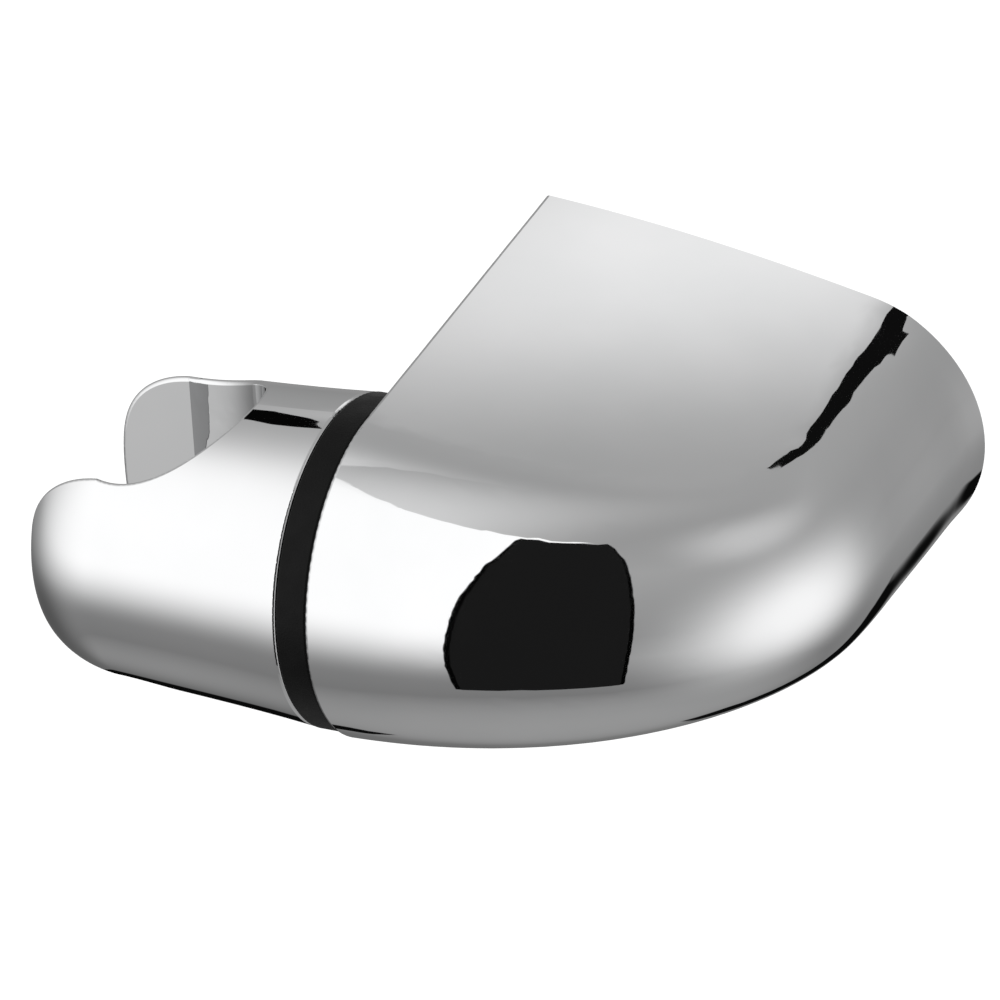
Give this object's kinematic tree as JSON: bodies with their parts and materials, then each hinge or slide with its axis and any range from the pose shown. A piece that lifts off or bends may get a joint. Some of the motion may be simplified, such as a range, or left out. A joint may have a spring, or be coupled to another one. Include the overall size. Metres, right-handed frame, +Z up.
{
  "type": "hand shower holder",
  "caption": "Wall-mounted hand shower holder with a chrome pebble base and an open conical cradle that swivels about a horizontal axis.",
  "frame": {"origin": "midway between the two wall screws, on the face that lies against the wall", "axes": "+X along the swivel axis, from the cradle into the base; +Y into the wall; +Z up"},
  "size_m": [0.0937, 0.0684, 0.0452],
  "materials": {
    "base_housing": "polished chrome plate on moulded plastic",
    "wall_plate": "moulded, pale grey",
    "lock_insert": "turned",
    "lock_screw": "stainless",
    "friction_ring": "satin black",
    "bearing_bush": "white acetal",
    "cradle_shell": "polished chrome plate on moulded plastic",
    "pivot_hub": "moulded, black",
    "o_ring": "matt",
    "pivot_screw": "stainless",
    "screw_cap": "polished chrome plate on moulded plastic",
    "thrust_washer": "white acetal",
    "disc_spring_inner": "spring steel",
    "disc_spring_outer": "spring steel",
    "steel_washer": "stainless",
    "lock_nut": "stainless",
    "nut_insert": "blue nylon"
  },
  "bodies": {
    "wall_base": {"base_housing": "base_housing", "wall_plate": "wall_plate", "lock_insert": "lock_insert", "lock_screw": "lock_screw", "friction_ring": "friction_ring", "bearing_bush": "bearing_bush"},
    "cradle": {"cradle_shell": "cradle_shell", "pivot_hub": "pivot_hub", "o_ring": "o_ring", "pivot_screw": "pivot_screw", "screw_cap": "screw_cap", "thrust_washer": "thrust_washer", "disc_spring_inner": "disc_spring_inner", "disc_spring_outer": "disc_spring_outer", "steel_washer": "steel_washer", "lock_nut": "lock_nut", "nut_insert": "nut_insert"}
  },
  "joints": [
    {"name": "cradle_swivel", "type": "hinge", "parent": "wall_base", "child": "cradle", "pos_m": [-0.027, -0.0484, 0], "axis": [1, 0, 0], "continuous": true}
  ]
}
